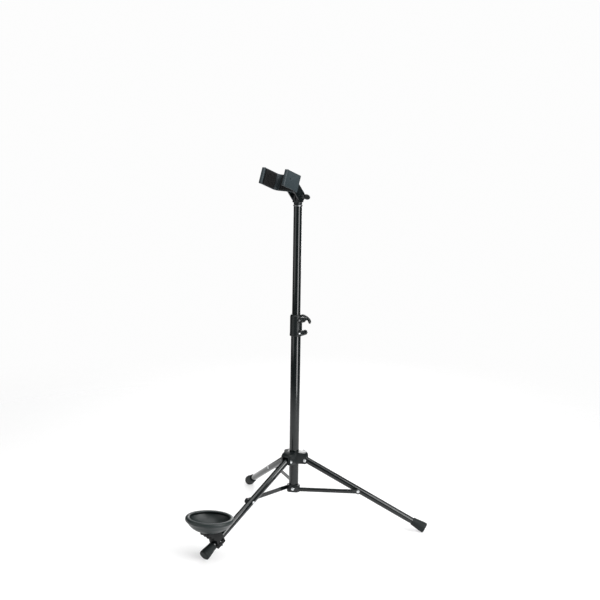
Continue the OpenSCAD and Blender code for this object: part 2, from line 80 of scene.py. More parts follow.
def turned(angle, axis):
    """A 4x4 turn about an axis through the origin, by the right-hand rule."""
    return np.array(Matrix.Rotation(angle, 4, Vector(axis)))


def moved(x=0.0, y=0.0, z=0.0):
    """A 4x4 shift."""
    out = np.eye(4)
    out[:3, 3] = x, y, z
    return out


slide = np.array(joints["cup_slide"]["axis"])
slope = math.atan2(slide[2], slide[1])
mast_y = joints["cradle_tilt"]["pos_m"][1]
tilt_z = joints["cradle_tilt"]["pos_m"][2]


def leg_frame(i):
    """X runs down the leg from its pivot, Y is sideways and Z is the leg's upper side."""
    j = joints[f"leg_fold_{i}"]
    side = np.array(j["axis"])
    out = np.cross(side, UP)
    down = out * math.cos(slope) - UP * math.sin(slope)
    return axes(j["pos_m"], down, side, np.cross(down, side))


def strap_frame(i):
    """X runs from the hub to the strap's outer rivet, and the strap lies on the -Y side."""
    hub = np.array(joints[f"brace_fold_{i}"]["pos_m"])
    side = -np.array(joints[f"brace_fold_{i}"]["axis"])
    lo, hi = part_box(f"brace_rivet_{i}")
    out = np.cross(side, UP)
    rivet = np.array((lo + hi) / 2) - hub
    x = out * (rivet @ out) + UP * rivet[2]
    length = np.linalg.norm(x)
    x = x / length
    return axes(hub, x, side, np.cross(x, side)), length


_, strap_length = strap_frame(1)
mast = moved(0, mast_y, 0)
print("leg slope", round(math.degrees(slope), 2), "strap", round(strap_length, 4))

# %% [markdown]
# ## Surfaces from arrays
# Tubes, rivets, feet and the cup are all turned shapes, as if made on a lathe. The
# others are sections carried along a path. Both are a grid of points, so one function
# that skins a grid makes them all. Doing the sums on whole arrays keeps it quick.
# The volume inside a closed surface comes out negative when its faces look inwards, so
# its sign tells when to turn them round.

# %% A mesh whose faces look outwards


def signed_volume(points, faces):
    """Volume by summing the tetrahedra from the origin to each triangle of each face."""
    a, b, c = points[faces[:, 0]], points[faces[:, 1]], points[faces[:, 2]]
    volume = np.einsum("ij,ij->i", a, np.cross(b, c)).sum()
    if faces.shape[1] == 4:
        d = points[faces[:, 3]]
        volume += np.einsum("ij,ij->i", a, np.cross(c, d)).sum()
    return volume / 6


def finish_mesh(name, points, groups, place, edge_angle=32):
    """An object from points in a frame and a list of face arrays, facing outwards."""
    world = points @ place[:3, :3].T + place[:3, 3]
    middle = world.mean(0)
    if sum(signed_volume(world - middle, f) for f in groups if len(f)) < 0:
        groups = [f[:, ::-1] for f in groups]
    mesh = bpy.data.meshes.new(name)
    faces = [face for f in groups for face in f.tolist()]
    mesh.from_pydata(world.tolist(), [], faces)
    mesh.shade_smooth()
    mesh.set_sharp_from_angle(angle=math.radians(edge_angle))
    mesh.update()
    piece = bpy.data.objects.new(name, mesh)
    bpy.context.scene.collection.objects.link(piece)
    return piece


print("mesh maker ready")

# %% A skin over a grid


def skin(name, grid, place=np.eye(4), ends="capped", poles=(None, None), edge_angle=32):
    """A closed surface over a grid [row, column, xyz] whose columns wrap round.

    ends="ring" joins the last row to the first. Otherwise each end row is closed by a
    fan to its pole, which is the middle of the row unless given.
    """
    rows, cols = grid.shape[:2]
    points = grid.reshape(-1, 3)
    steps = rows if ends == "ring" else rows - 1
    r = np.arange(steps)[:, None]
    c = np.arange(cols)[None, :]
    here, up = r * cols, (r + 1) % rows * cols
    right = (c + 1) % cols
    quads = np.stack([here + c, here + right, up + right, up + c], axis=-1).reshape(-1, 4)
    groups = [quads]
    if ends != "ring":
        first = grid[0].mean(0) if poles[0] is None else poles[0]
        last = grid[-1].mean(0) if poles[1] is None else poles[1]
        points = np.vstack([points, first, last])
        k, n = np.arange(cols), len(points)
        nxt = (k + 1) % cols
        base = (rows - 1) * cols
        groups.append(np.stack([nxt, k, np.full(cols, n - 2)], axis=-1))
        groups.append(np.stack([base + k, base + nxt, np.full(cols, n - 1)], axis=-1))
    return finish_mesh(name, points, groups, place, edge_angle)


print("skin ready")

# %% A path with rounded corners


def rounded(corners, radius, steps=4):
    """A path with its inner corners rounded: each corner becomes a short curve.

    A point of that curve is (1-t)^2 a + 2 t (1-t) corner + t^2 b, where a and b lie
    radius before and after the corner, or half way to the next corner if that is nearer.
    """
    p = np.asarray(corners, float)
    out = [p[:1]]
    t = np.linspace(0, 1, steps + 1)[:, None]
    for before, at, after in zip(p[:-2], p[1:-1], p[2:]):
        to_before, to_after = before - at, after - at
        near = min(radius, np.linalg.norm(to_before) / 2.05, np.linalg.norm(to_after) / 2.05)
        a = at + to_before / np.linalg.norm(to_before) * near
        b = at + to_after / np.linalg.norm(to_after) * near
        out.append((1 - t) ** 2 * a + 2 * t * (1 - t) * at + t**2 * b)
    return np.vstack(out + [p[-1:]])


print("a rounded corner has", len(rounded([(0, 0), (1, 0), (1, 1)], 0.2)) - 2, "points")

# %% A turned shape
ON_AXIS = 1e-9


def lathe(name, profile, place, count, ring=False, edge_angle=32):
    """A turned shape about the frame's Z. profile is [radius, height] in metres.

    The point at turn a and profile step k is (r_k cos a, r_k sin a, z_k). A profile
    that starts or ends on the axis is closed there by a pole.
    """
    p = np.asarray(profile, float)
    poles = [None, None]
    if not ring:
        if p[0, 0] < ON_AXIS:
            poles[0], p = np.array([0, 0, p[0, 1]]), p[1:]
        if p[-1, 0] < ON_AXIS:
            poles[1], p = np.array([0, 0, p[-1, 1]]), p[:-1]
    a = np.arange(count) / count * 2 * math.pi
    grid = np.stack(
        [
            p[:, :1] * np.cos(a),
            p[:, :1] * np.sin(a),
            np.repeat(p[:, 1:], count, axis=1),
        ],
        axis=-1,
    )
    return skin(name, grid, place, "ring" if ring else "capped", tuple(poles), edge_angle)


print("lathe ready")

# %% [markdown]
# A piece made here stands for one or more pieces of the measured model. It has to move
# with the same body, and the pieces it stands for are hidden, so one function does both.

# %% Pieces that stand for measured ones


def fit(piece, *nodes):
    """The piece stands for these nodes: it rides on their body and hides them."""
    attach(piece, body_of_node[nodes[0]])
    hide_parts(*nodes)
    return piece


def joined(name, parts):
    """One object from several made so far, with their meshes in one."""
    with bpy.context.temp_override(
        active_object=parts[0], selected_editable_objects=parts, selected_objects=parts
    ):
        bpy.ops.object.join()
    parts[0].name = name
    return parts[0]


# Turns that lay a frame's Z axis along its X or its Y
ALONG_X = turned(math.pi / 2, (0, 1, 0))
ALONG_Y = turned(-math.pi / 2, (1, 0, 0))
print("slots", sorted(set(slot_of_node.values())))

# %% [markdown]
# ## Shader sums as Python
# A surface that looks real is never one even colour. Its roughness wanders, dust sits in
# it and its grain catches the light. Those patterns are sums of noises, and sums are
# easiest to read as Python. Num wraps a node's output so that +, - and * add Math nodes,
# with a plain number on either side. Finish holds one material and makes any other node
# with one method.

# %% Sockets that can be added and multiplied


class Num:
    """A number socket of a finish that takes part in Python expressions."""

    def __init__(self, finish, socket):
        self.finish, self.socket = finish, socket

    def _math(self, operation, a, b):
        return self.finish.node("ShaderNodeMath", {"operation": operation}, {0: a, 1: b}).num()

    def __add__(self, other):
        return self._math("ADD", self, other)

    def __sub__(self, other):
        return self._math("SUBTRACT", self, other)

    def __rsub__(self, other):
        return self._math("SUBTRACT", other, self)

    def __mul__(self, other):
        return self._math("MULTIPLY", self, other)

    __radd__, __rmul__ = __add__, __mul__

    def clamp(self):
        """The value held between 0 and 1."""
        return self.finish.node("ShaderNodeClamp", {}, {"Value": self}).num()


class Made:
    """A node that was made, with its outputs by name or number."""

    def __init__(self, finish, node):
        self.finish, self.node = finish, node

    def num(self, key=0):
        return Num(self.finish, self.node.outputs[key])

    def out(self, key=0):
        return self.node.outputs[key]


print("operators +, - and * ready")

# %% A material and its nodes


class Finish:
    """One material, with the few patterns that the finishes of this stand share."""

    def __init__(self, name):
        self.material = bpy.data.materials.new(name)
        self.material.use_nodes = True
        self.nodes = self.material.node_tree.nodes
        self.links = self.material.node_tree.links
        self.nodes.clear()
        self.place = self.node("ShaderNodeTexCoord", {}, {}).out("Object")

    def node(self, kind, settings, inputs):
        """A node of a kind: its settings are set first, then its inputs or links."""
        node = self.nodes.new(kind)
        for key, value in settings.items():
            setattr(node, key, value)
        for key, value in inputs.items():
            socket = node.inputs[key]
            if isinstance(value, Num):
                self.links.new(value.socket, socket)
            elif isinstance(value, bpy.types.NodeSocket):
                self.links.new(value, socket)
            else:
                socket.default_value = value
        return Made(self, node)

    def noise(self, scale, detail=2.0, rough=0.5, stretch=None):
        """Noise from 0 to 1. scale is in patches a metre; stretch scales each axis."""
        vector = self.place
        if stretch:
            inputs = {"Vector": vector, "Scale": stretch}
            vector = self.node("ShaderNodeMapping", {"vector_type": "POINT"}, inputs).out()
        inputs = {"Vector": vector, "Scale": scale, "Detail": detail, "Roughness": rough}
        return self.node("ShaderNodeTexNoise", {}, inputs).num("Fac")

    def band(self, value, low, high):
        """0 below low, 1 above high and a smooth step between."""
        settings = {"interpolation_type": "SMOOTHSTEP"}
        inputs = {"Value": value, "From Min": low, "From Max": high}
        return self.node("ShaderNodeMapRange", settings, inputs).num()

    def blend(self, factor, a, b):
        """Colour a where the factor is 0 and b where it is 1."""
        settings = {"data_type": "RGBA", "clamp_factor": True}
        inputs = {0: factor, 6: (*a, 1), 7: (*b, 1)}
        return self.node("ShaderNodeMix", settings, inputs).out(2)

    def bump(self, height, strength, distance):
        """A normal from a height in units of distance metres."""
        inputs = {"Height": height, "Strength": strength, "Distance": distance}
        return self.node("ShaderNodeBump", {}, inputs).out()

    def surface(self, **inputs):
        """The Principled shader, with its sockets by name, and the output."""
        named = {k.replace("_", " "): v for k, v in inputs.items()}
        shader = self.node("ShaderNodeBsdfPrincipled", {}, named)
        self.node("ShaderNodeOutputMaterial", {}, {"Surface": shader.out()})
        return self.material


print("finish tools ready")

# %% [markdown]
# ## The finishes
# Gloss black enamel on steel tube has a clear, smooth skin with a faint orange-peel
# ripple. Fine dust and handling marks show in it as slightly rougher, paler patches. The
# ripple is a broad, shallow bump, and the marks change the roughness and the colour.

# %% Gloss black enamel


def enamel(name, base, dusty, rough):
    """Enamel: ripple from two noises, and dust and rubbed marks in its colour and gloss."""
    f = Finish(name)
    ripple = f.noise(260, 2) * 0.8 + f.noise(900, 2) * 0.2
    dust = f.band(f.noise(5200, 3, 0.7), 0.56, 0.8) * f.band(f.noise(38, 3), 0.42, 0.72)
    rubbed = f.band(f.noise(75, 4, 0.6, stretch=(1, 1, 0.22)), 0.53, 0.74)
    color = f.blend((dust * 0.4 + rubbed * 0.15).clamp(), base, dusty)
    return f.surface(
        Base_Color=color,
        Roughness=(rough + rubbed * 0.06 + dust * 0.12).clamp(),
        Specular_IOR_Level=0.5,
        Normal=f.bump(ripple, 0.04, 0.0001),
    )


gloss_black = enamel("gloss_black_enamel", (0.003, 0.005, 0.0053), (0.028, 0.034, 0.036), 0.12)
print(gloss_black.name)

# %% [markdown]
# Moulded nylon and glass-filled plastic come out of a spark-eroded mould with a fine,
# even grain, so highlights are broad and soft. Patches that hands and instruments rub go
# slightly shinier. The same recipe serves every moulded part, with its own colour, grain
# and gloss; the clamp block's darker colour is painted shade. Grain and wear are in
# patches a metre, and depth is in metres.

# %% Moulded plastic


def moulded(name, base, light, rough, grain=2600, depth=0.00006, wear=60, shine=0.4):
    """Black plastic with a spark-eroded grain, paler scuffs and shinier touched patches."""
    f = Finish(name)
    fine = f.noise(grain, 3, 0.65)
    cloud = f.noise(wear, 4, 0.6)
    scuff = f.band(f.noise(310, 5, 0.7, stretch=(1, 1, 0.35)), 0.6, 0.78)
    polished = f.band(cloud, 0.5, 0.75)
    lint = f.band(f.noise(grain * 1.6, 2, 0.7), 0.66, 0.8)
    color = f.blend((scuff * 0.35 + lint * 0.25 + cloud * 0.12).clamp(), base, light)
    return f.surface(
        Base_Color=color,
        Roughness=(rough + fine * 0.12 - polished * 0.09 + lint * 0.1).clamp(),
        Specular_IOR_Level=shine,
        Normal=f.bump(fine + scuff * 0.25, 0.5, depth),
    )


crown_plastic = moulded(
    "crown_plastic", (0.0035, 0.0055, 0.006), (0.016, 0.022, 0.024), 0.3, shine=0.32
)
cup_plastic = moulded(
    "cup_plastic",
    (0.009, 0.0145, 0.0145),
    (0.034, 0.045, 0.046),
    0.36,
    grain=3000,
    depth=0.00005,
    wear=35,
)
cradle_plastic = moulded(
    "cradle_plastic",
    (0.014, 0.023, 0.027),
    (0.045, 0.06, 0.068),
    0.5,
    grain=2200,
    depth=0.00008,
    wear=45,
)
knob_plastic = moulded(
    "knob_plastic", (0.004, 0.006, 0.0065), (0.022, 0.028, 0.03), 0.34, grain=3200
)
# The clamp block and its strap sit under the cup: this darker, less shiny copy of the black plastic
# is painted shade for the shadow that falls there.
block_plastic = moulded(
    "block_plastic", (0.0015, 0.0022, 0.0024), (0.01, 0.014, 0.015), 0.3, shine=0.16
)
plastics = (crown_plastic, cup_plastic, cradle_plastic, knob_plastic, block_plastic)
print([plastic.name for plastic in plastics])

# %% [markdown]
# Rubber and foam reflect almost nothing sharply, and dust lies in their grain. Zinc
# plating is the opposite: bright metal with a faint streaky bloom and small dull spots.

# %% Rubber, foam and zinc


def rubber(name, base, light, rough, grain, depth):
    """Matt rubber: a pebbled grain, with dust lying in the grain and in larger patches."""
    f = Finish(name)
    fine = f.noise(grain, 4, 0.7)
    patches = f.band(f.noise(70, 4, 0.65), 0.4, 0.8)
    dust = ((1 - fine) * 0.5 + patches * 0.5) * f.band(f.noise(900, 3), 0.4, 0.75)
    color = f.blend((dust * 0.5 + patches * 0.15).clamp(), base, light)
    return f.surface(
        Base_Color=color,
        Roughness=(rough + fine * 0.15 - patches * 0.06).clamp(),
        Specular_IOR_Level=0.25,
        Normal=f.bump(fine, 0.7, depth),
    )


def plated(name, bright, dull, rough):
    """Zinc plate: metal with streaks of bloom and small dull spots."""
    f = Finish(name)
    bloom = f.noise(900, 4, 0.6)
    streak = f.noise(2400, 3, 0.6, stretch=(1, 0.2, 0.2))
    spots = f.band(f.noise(2100, 4, 0.7), 0.62, 0.75)
    color = f.blend((spots * 0.6 + bloom * 0.2).clamp(), bright, dull)
    return f.surface(
        Base_Color=color,
        Metallic=1.0,
        Roughness=(rough + streak * 0.16 + spots * 0.25).clamp(),
        Normal=f.bump(streak, 0.25, 0.00003),
    )


foot_rubber = rubber(
    "foot_rubber", (0.0045, 0.0072, 0.0075), (0.02, 0.026, 0.026), 0.5, 1900, 0.00012
)
pad_foam = rubber(
    "pad_foam", (0.003, 0.0034, 0.0036), (0.018, 0.02, 0.021), 0.72, 2600, 0.0002
)
zinc_plate = plated("zinc_plate", (0.6, 0.62, 0.63), (0.34, 0.35, 0.35), 0.2)
dull_plate = plated("dull_plate", (0.2, 0.205, 0.21), (0.1, 0.1, 0.1), 0.34)
print([finish.name for finish in (foot_rubber, pad_foam, zinc_plate, dull_plate)])

# %% [markdown]
# Some pieces of the measured model already have the right shape, such as the small bolts
# and the bush. They stay as they are and only get a finish, which follows from their slot.

# %% Which finish each slot shows
slot_finish = {
    "black_paint": gloss_black,
    "black_plastic": crown_plastic,
    "rubber": foot_rubber,
    "zinc": zinc_plate,
}


def coat(piece, finish):
    """Gives the whole piece one finish."""
    piece.data.materials.clear()
    piece.data.materials.append(finish)
    return piece


for name, node in frame["nodes"].items():
    for k in range(max(1, len(node.data.materials))):
        if len(node.data.materials) <= k:
            node.data.materials.append(slot_finish[slot_of_node[name]])
        else:
            node.data.materials[k] = slot_finish[slot_of_node[name]]
print("finishes on", len(frame["nodes"]), "nodes")

# %% [markdown]
# ## Tubes and legs
# The mast is two seamless steel tubes, one inside the other, and the legs are a third
# size. Each has a real wall and a small rolled edge at its ends, where the light catches.
# A closed profile carried once round the axis gives both skins of the wall in one piece.

# %% Steel tubes
WALL = 1.5 * MM
RING_BORE = 12.0 * MM


def tube_profile(outer, inner, low, high, edge=0.35 * MM):
    """A closed [radius, height] loop for a wall, with its four corners rounded."""
    loop = [(outer, low), (outer, high), (inner, high), (inner, low)]
    loop = [*loop, loop[0], loop[1]]
    path = rounded(loop, edge, 3)
    return path[1:-1]


for name in ("lower_tube", "upper_tube"):
    lo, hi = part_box(name)
    outer = (hi.x - lo.x) / 2
    profile = tube_profile(outer, outer - WALL, lo.z, hi.z)
    coat(fit(lathe(f"{name}_steel", profile, mast, 96, ring=True), name), gloss_black)
    print(name, "radius", round(outer / MM, 2), "mm")

lo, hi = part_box("tube_top_ring")
profile = tube_profile((hi.x - lo.x) / 2, RING_BORE, lo.z, hi.z, edge=0.6 * MM)
coat(fit(lathe("bright_ring", profile, mast, 80, ring=True), "tube_top_ring"), dull_plate)

# %% Three legs
LEG_R = 9.5 * MM
LEG_START, LEG_END = -7.5 * MM, 392 * MM
for i in (1, 2, 3):
    place = leg_frame(i) @ ALONG_X
    profile = tube_profile(LEG_R, LEG_R - WALL, LEG_START, LEG_END)
    coat(fit(lathe(f"leg_tube_{i}", profile, place, 80, ring=True), f"leg_{i}"), gloss_black)
print("three legs of", round((LEG_END - LEG_START) / MM), "mm")

# %% [markdown]
# ## Feet
# A foot is a moulded rubber boot: a collar that grips the tube, then a flared end with
# fine flutes round it. It has worn flat where it stands. The boot is turned like the
# tubes, the flutes make its radius vary with the angle round it, and every point that
# would pass below the floor is lifted onto it.

# %% Rubber feet
FOOT_START, FOOT_END = 362 * MM, 404 * MM
FOOT_R = 15.2 * MM
FOOT_BORE = LEG_R + 0.05 * MM
PLUG = FOOT_START + 4 * MM  # the boot's skin closes here, hidden inside the leg
FLUTES = 24


def foot(i):
    """Radius r(s) (1 - 0.05 f(s) (1 - |cos 12a|^0.6)), with no point below the floor.

    r(s) is the boot's turned profile and f(s) fades the flutes in and out along it.
    """
    neck = LEG_R + 1.8 * MM
    outside = rounded(
        [
            (FOOT_BORE, FOOT_START),
            (neck, FOOT_START),
            (neck + 0.9 * MM, FOOT_START + 1.2 * MM),
            (neck + 0.9 * MM, FOOT_START + 4.6 * MM),
            (neck + 0.1 * MM, FOOT_START + 5.6 * MM),
            (neck + 0.9 * MM, FOOT_START + 7.2 * MM),
            (FOOT_R - 0.1 * MM, FOOT_END - 10 * MM),
            (FOOT_R, FOOT_END),
            (0.0, FOOT_END),
        ],
        3.2 * MM,
        6,
    )
    pairs = zip(outside[:-1], outside[1:])
    fine = np.concatenate([np.linspace(a, b, 4)[:-1] for a, b in pairs])
    profile = np.vstack([[[FOOT_BORE, PLUG]], fine])
    count = 168
    a = np.arange(count) / count * 2 * math.pi
    s = profile[:, 1:]
    fluted = np.clip((s - FOOT_START - 9 * MM) / (6 * MM), 0, 1)
    fluted = fluted * np.clip((FOOT_END - 5 * MM - s) / (5 * MM), 0, 1)
    groove = 1 - np.abs(np.cos(FLUTES / 2 * a))[None, :] ** 0.6
    r = profile[:, :1] * (1 - 0.05 * fluted * groove)
    grid = np.stack([r * np.cos(a), r * np.sin(a), np.repeat(s, count, axis=1)], axis=-1)
    place = leg_frame(i) @ ALONG_X
    world = grid @ place[:3, :3].T + place[:3, 3]
    world[..., 2] = np.maximum(world[..., 2], 0.0)
    plug, end = np.array([[0, 0, PLUG], [0, 0, FOOT_END]]) @ place[:3, :3].T + place[:3, 3]
    end[2] = max(end[2], 0.0)
    return skin(f"rubber_foot_{i}", world, poles=(plug, end), edge_angle=50)


for i in (1, 2, 3):
    coat(fit(foot(i), f"foot_{i}"), foot_rubber)
print("three feet with", FLUTES, "flutes each")

# %% [markdown]
# ## Straps
# Each brace is a strip of steel pressed in one hit: a round eye at either end and a long
# rib that stiffens it. A strip is a section carried along its own line. Its half width
# follows a circle round each eye, and the rib is a smooth swelling that fades out before
# the eyes.

# %% Pressed straps
STRAP_HALF, STRAP_T = 6.25 * MM, 1.5 * MM
HUB_EYE, LEG_EYE = 7.0 * MM, 8.2 * MM  # radii of the two eyes
STRAP_SIDE = 16.1 * MM  # from the leg's middle to the strap's inner face
RIB_START, RIB_FADE, RIB_RISE = 12 * MM, 9 * MM, 0.78 * MM


def ease(x):
    """A smooth step: 3x^2 - 2x^3 for x held between 0 and 1."""
    x = np.clip(x, 0, 1)
    return x * x * (3 - 2 * x)


def strap(i):
    """At s along and u across (-1 to 1): x = s, z = u w(s), and y swells over the rib."""
    place, length = strap_frame(i)
    turn = np.linspace(0, math.pi / 2, 14)
    near = np.concatenate([-HUB_EYE * np.cos(turn), HUB_EYE * np.sin(turn[1:])])
    far = length - np.concatenate([-LEG_EYE * np.cos(turn), LEG_EYE * np.sin(turn[1:])])[::-1]
    s = np.concatenate([near, np.linspace(near[-1], far[0], 60)[1:-1], far])
    w = np.maximum(
        np.sqrt(np.maximum(HUB_EYE**2 - s**2, 0)),
        np.sqrt(np.maximum(LEG_EYE**2 - (s - length) ** 2, 0)),
    )
    between = (s > 0) & (s < length)
    w = np.maximum(np.where(between, np.maximum(w, STRAP_HALF), w), 0.2 * MM)
    rib = ease((s - RIB_START) / RIB_FADE) * ease((length - RIB_START - s) / RIB_FADE)
    u = np.concatenate([np.linspace(-1, 1, 27), np.linspace(1, -1, 27)])
    outer = np.concatenate([np.ones(27), np.zeros(27)])
    edge = np.sqrt(np.clip(1 - np.abs(u) ** 12, 0, 1))
    swell = np.exp(-((u / 0.4) ** 4))
    half = STRAP_T / 2
    y = STRAP_SIDE + half + (outer * 2 - 1) * half * (0.35 + 0.65 * edge)
    y = y + rib[:, None] * swell * outer * RIB_RISE
    x = np.repeat(s[:, None], len(u), axis=1)
    grid = np.stack([x, -y, u * w[:, None]], axis=-1)
    return skin(f"pressed_strap_{i}", grid, place, edge_angle=40)


for i in (1, 2, 3):
    coat(fit(strap(i), f"brace_{i}"), gloss_black)
print("three straps")

# %% [markdown]
# ## Rivets and pins
# Rivets are turned too. A tubular rivet has a rolled head with a dimple in its middle,
# and that ring is what glints. One head profile serves every rivet: a rim, a rounded
# crown and a dimple that falls back towards the shank.

# %% A rivet's profile
PIN_R = 3 * MM


def head(radius, height, base, dimple=0.45, shank=PIN_R):
    """[radius, height] points of a rolled head, from its dimple out and down to the shank."""
    t = np.linspace(0, 1, 9)
    well = radius * 0.34
    inner = np.stack([well * t, height * (1 - dimple * (1 - ease(t)))], axis=-1)
    a = np.linspace(math.pi / 2, 0, 10)[1:]
    dome = np.stack([well + (radius - well) * np.cos(a), height * np.sin(a) ** 0.75], axis=-1)
    foot_ring = np.array([[radius, 0.0], [shank, 0.0]])
    return np.vstack([inner, dome, foot_ring]) + np.array([0, base])


def rivet(name, place, low, high, top, under=None):
    """A shank from low to high, turned about Z, with a head on top and perhaps one under."""
    start = np.array([[0, low], [PIN_R, low]])
    if under:
        start = head(*under, -low) * np.array([1, -1])
    return lathe(name, np.vstack([start, head(*top, high)[::-1]]), place, 40, edge_angle=40)


HEAD = (4.6 * MM, 1.8 * MM)  # radius and height
HUB_HEAD = (4.8 * MM, 1.7 * MM)
print("a rivet head has", len(head(*HEAD, 0.0)), "points")

# %% [markdown]
# Each leg turns on a long rivet through the crown and carries a short stud. Its strap
# turns on one rivet at the hub and ends in another beside the leg, where a plastic spacer
# keeps the strap's eye clear of the tube.

# %% Rivets of a leg
CROWN_FACE = 17.1 * MM  # just outside the crown's lobes, where the pivot heads sit
STUD_AT = 180 * MM  # down the leg from its pivot


def leg_rivets(i):
    """The pivot rivet lies level, across the leg, and the stud crosses the tube."""
    level = leg_frame(i)
    pivot = axes(level[:3, 3], np.cross(level[:3, 1], UP), level[:3, 1], UP) @ ALONG_Y
    pin = rivet(f"pivot_rivet_{i}", pivot, -CROWN_FACE, CROWN_FACE, HEAD, under=HEAD)
    coat(fit(pin, f"leg_pin_{i}"), zinc_plate)
    across_leg = level @ moved(x=STUD_AT) @ ALONG_Y
    pin = rivet(f"leg_stud_{i}", across_leg, 0.3 * MM - LEG_R, LEG_R, HEAD)
    coat(fit(pin, f"leg_rivet_{i}"), zinc_plate)


print("pivot heads", round(2 * CROWN_FACE / MM, 1), "mm apart")

# %% Rivets and spacer of a strap
LEG_SIDE = LEG_R + 0.6 * MM  # just clear of the leg
STRAP_OUTSIDE = STRAP_SIDE + STRAP_T
HUB_FACE = 14.3 * MM
SPACER_R, SPACER_BORE = 5.2 * MM, 3.05 * MM
OUT_OF_STRAP = turned(math.pi / 2, (1, 0, 0))


def strap_rivets(i):
    """At the eye a rivet inside its spacer, and at the hub a rivet through the strap."""
    strap_place, length = strap_frame(i)
    at_eye = strap_place @ moved(x=length) @ OUT_OF_STRAP
    pin = rivet(f"strap_rivet_{i}", at_eye, LEG_SIDE, STRAP_OUTSIDE + 0.1 * MM, HEAD)
    coat(fit(pin, f"brace_rivet_{i}"), zinc_plate)
    sleeve = tube_profile(SPACER_R, SPACER_BORE, LEG_SIDE, STRAP_SIDE - 0.05 * MM, 0.5 * MM)
    spacer = lathe(f"spacer_{i}", sleeve, at_eye, 48, ring=True)
    coat(fit(spacer, f"brace_spacer_{i}"), crown_plastic)
    at_hub = strap_place @ OUT_OF_STRAP
    pin = rivet(f"hub_rivet_{i}", at_hub, HUB_FACE, STRAP_OUTSIDE + 0.2 * MM, HUB_HEAD)
    coat(fit(pin, f"hub_pin_{i}"), zinc_plate)


for i in (1, 2, 3):
    leg_rivets(i)
    strap_rivets(i)
print("twelve rivets and three spacers")

# %% [markdown]
# ## Moulded parts with soft edges
# The crown, the hub, the collar and the clamp block have the right shape in the measured
# model, but their edges are razor sharp, and nothing moulded is. A copy of each is
# welded, its flat faces are merged, and a narrow bevel rolls every edge so that it holds
# a highlight.

# %% Soften a measured part
WELD = 2e-6  # corners closer than this are one
FLAT = math.radians(0.6)  # faces that turn less than this are one
ROLLED = math.radians(28)  # edges sharper than this are rolled


def softened(name, node, edge, finish):
    """A copy of a node's mesh, welded and cleaned, with every sharp edge rolled."""
    mesh = frame["nodes"][node].data.copy()
    mesh.name = name
    work = bmesh.new()
    work.from_mesh(mesh)
    bmesh.ops.remove_doubles(work, verts=work.verts, dist=WELD)
    bmesh.ops.dissolve_limit(work, angle_limit=FLAT, verts=work.verts, edges=work.edges)
    work.to_mesh(mesh)
    work.free()
    mesh.shade_smooth()
    piece = bpy.data.objects.new(name, mesh)
    bpy.context.scene.collection.objects.link(piece)
    bevel = piece.modifiers.new("rolled edges", "BEVEL")
    bevel.width, bevel.segments = edge, 3
    bevel.limit_method, bevel.angle_limit = "ANGLE", ROLLED
    bevel.use_clamp_overlap = True
    bevel.harden_normals = True
    return coat(fit(piece, node), finish)


for name, node, edge, finish in (
    ("crown_block", "crown", 1.0 * MM, crown_plastic),
    ("hub_block", "brace_hub", 0.7 * MM, crown_plastic),
    ("collar_body", "height_collar", 0.8 * MM, crown_plastic),
    ("clamp_nut", "collar_clamp_nut", 0.5 * MM, knob_plastic),
    # The clamp block and its strap take the plastic darkened as painted shade for the shadow under
    # the cup.
    ("clamp_block", "cup_bracket", 0.8 * MM, block_plastic),
    ("clamp_half", "bracket_strap", 0.6 * MM, block_plastic),
    ("fork_block", "head_fork", 0.7 * MM, crown_plastic),
    ("arm_channel", "tilt_arm", 0.4 * MM, gloss_black),
    ("yoke", "cradle", 0.7 * MM, cradle_plastic),
):
    soft = softened(name, node, edge, finish)
    print(soft.name, "has", len(soft.data.polygons), "faces before its edges are rolled")

# %% [markdown]
# ## The cup
# The cup is a shallow moulded bowl with a thick rolled rim. Its profile is drawn once, in
# order from the underside round the rim to the inside, and turned. The wall is the space
# between the two runs of the profile, so the bowl is hollow as the real one is.

# %% Where the cup stands
SEAT_UP = 7.1 * MM  # the seat is this far above the cup's underside
lo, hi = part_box("cup")
rim = (hi.x - lo.x) / 2 / MM
seat = next(m for m in record["mounts"] if m["name"] == "cup_seat")
cup_up = np.array(seat["axis"]) / np.linalg.norm(seat["axis"])
cup_base = np.array(seat["pos_m"]) - cup_up * SEAT_UP
cup_base[0] = 0.0
cup_place = axes(cup_base, (1, 0, 0), np.cross(cup_up, (1, 0, 0)), cup_up)
print("cup radius", round(rim, 2), "mm, tilted", round(math.degrees(math.acos(cup_up[2])), 1))

# %% The bowl
SCREW_HOLE = 2.6 * MM
SHELL = 3  # the wall, in millimetres as the arcs are
BOWL_X, BOWL_Y, BOWL_R = 16, 53, 53  # middle and radius of the arc from underside to rim


def arc(cx, cy, r, a, b, steps):
    """Points of an arc about (cx, cy) from angle a to angle b, in degrees and millimetres."""
    t = np.radians(np.linspace(a, b, steps))
    return np.stack([cx + r * np.cos(t), cy + r * np.sin(t)], axis=-1) * MM


cup_profile = np.vstack(
    [
        [[SCREW_HOLE, 0.0]],
        arc(BOWL_X, BOWL_Y, BOWL_R, -90, -36, 34),
        arc(rim - 4, 33, 4, -75, 0, 10),
        arc(rim - 5.5, 35.5, 5.5, 0, 90, 14),
        arc(rim - 8.5, 37.5, 3.5, 90, 165, 10),
        arc(BOWL_X, BOWL_Y, BOWL_R - SHELL, -26, -90, 34),
        [[SCREW_HOLE, SHELL * MM]],
    ]
)
bowl = lathe("bowl", cup_profile, cup_place, 160, ring=True, edge_angle=45)
coat(fit(bowl, "cup"), cup_plastic)
print("the bowl's profile has", len(cup_profile), "points")

# %% Its screw
SCREW_R, SCREW_TIP = 2.5 * MM, -9 * MM
screw_head = head(4.6 * MM, 2.6 * MM, (SHELL + 0.05) * MM)[::-1]
screw_profile = np.vstack([[[0, SCREW_TIP], [SCREW_R, SCREW_TIP]], screw_head])
screw = lathe("bowl_screw", screw_profile, cup_place, 40)
coat(fit(screw, "cup_screw"), zinc_plate)
print("screw reaches", SCREW_TIP / MM, "mm")

